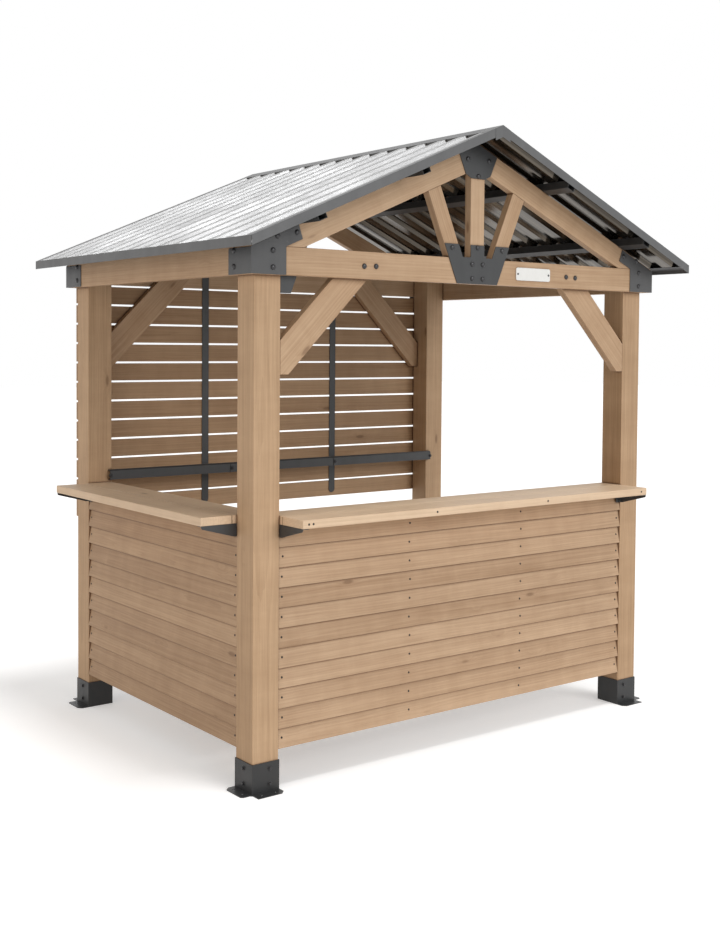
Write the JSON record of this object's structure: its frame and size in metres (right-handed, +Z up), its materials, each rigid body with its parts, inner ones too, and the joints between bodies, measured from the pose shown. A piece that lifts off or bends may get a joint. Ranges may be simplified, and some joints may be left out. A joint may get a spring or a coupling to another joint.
{
  "type": "gazebo bar",
  "caption": "Open timber gazebo bar with a gabled ribbed-metal roof, lapped-board bar walls with counters on adjoining sides, a slatted back wall and steel brackets.",
  "frame": {"origin": "on the ground at the middle of the post footprint", "axes": "+Z up, -Y the front gable with the long counter, -X the eave side with the short counter, ridge along Y"},
  "size_m": [2.39, 1.864, 2.5373],
  "materials": {
    "post": "planed softwood, light brown stain",
    "beam": "planed softwood, light brown stain",
    "board": "planed softwood, light brown stain",
    "slat": "planed softwood, light brown stain",
    "counter": "planed softwood, light brown stain",
    "dark_steel": "charcoal powder coat",
    "roof_sheet": "light silver coat above, dark below",
    "flashing": "mid grey coat",
    "white_plate": "plain white coat"
  },
  "bodies": {
    "root": {"post_front_left": "post", "post_front_right": "post", "post_back_left": "post", "post_back_right": "post", "tie_beam_front": "beam", "tie_beam_back": "beam", "eave_beam_left": "beam", "eave_beam_right": "beam", "knee_braces_front": "beam", "knee_braces_back": "beam", "rafter_front_left": "beam", "rafter_front_right": "beam", "rafter_back_left": "beam", "rafter_back_right": "beam", "truss_webs_front": "beam", "truss_webs_back": "beam", "wall_studs": "beam", "front_wall_boards": "board", "left_wall_boards": "board", "back_slats": "slat", "counter_front": "counter", "counter_left": "counter", "foot_front_left": "dark_steel", "foot_front_right": "dark_steel", "foot_back_left": "dark_steel", "foot_back_right": "dark_steel", "corner_bracket_front_left": "dark_steel", "corner_bracket_front_right": "dark_steel", "corner_bracket_back_left": "dark_steel", "corner_bracket_back_right": "dark_steel", "post_gusset": "dark_steel", "truss_plates_front": "dark_steel", "truss_plates_back": "dark_steel", "counter_brackets": "dark_steel", "slat_straps": "dark_steel", "back_rail": "dark_steel", "purlins": "dark_steel", "roof_sheet_left": "roof_sheet", "roof_sheet_right": "roof_sheet", "ridge_cap": "flashing", "eave_flashings": "flashing", "gable_flashings": "flashing", "name_plate": "white_plate"}
  },
  "joints": []
}
